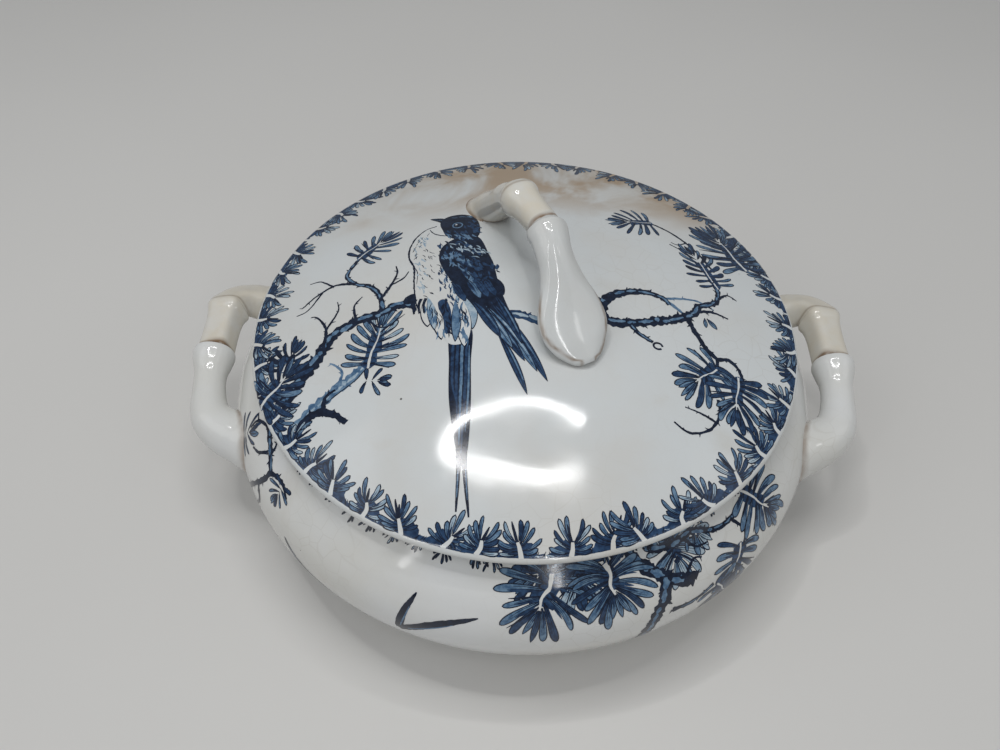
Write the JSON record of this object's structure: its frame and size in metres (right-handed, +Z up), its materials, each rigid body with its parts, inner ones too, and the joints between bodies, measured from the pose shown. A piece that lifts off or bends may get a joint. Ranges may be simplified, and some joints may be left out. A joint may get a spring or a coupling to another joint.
{
  "type": "soup tureen",
  "caption": "Round covered serving bowl with a low domed lift-off lid, bamboo-shaped side handles and an arched lid handle, decorated with blue pine branches and a songbird.",
  "frame": {"origin": "on the table, at the middle of the foot ring", "axes": "+Z up, +X from the left handle to the right handle, -Y towards the diner"},
  "size_m": [0.306, 0.263, 0.1525],
  "materials": {
    "glaze": "glossy",
    "lid_glaze": "glossy"
  },
  "bodies": {
    "bowl": {"bowl_body": "glaze", "foot_ring": "glaze", "right_handle": "glaze", "left_handle": "glaze"},
    "lid": {"lid_shell": "lid_glaze", "lid_locating_flange": "lid_glaze", "lid_handle": "lid_glaze"}
  },
  "joints": [
    {"name": "lid_lift", "type": "slide", "parent": "bowl", "child": "lid", "axis": [0, 0, 1], "range_m": [0, 0.12]}
  ]
}
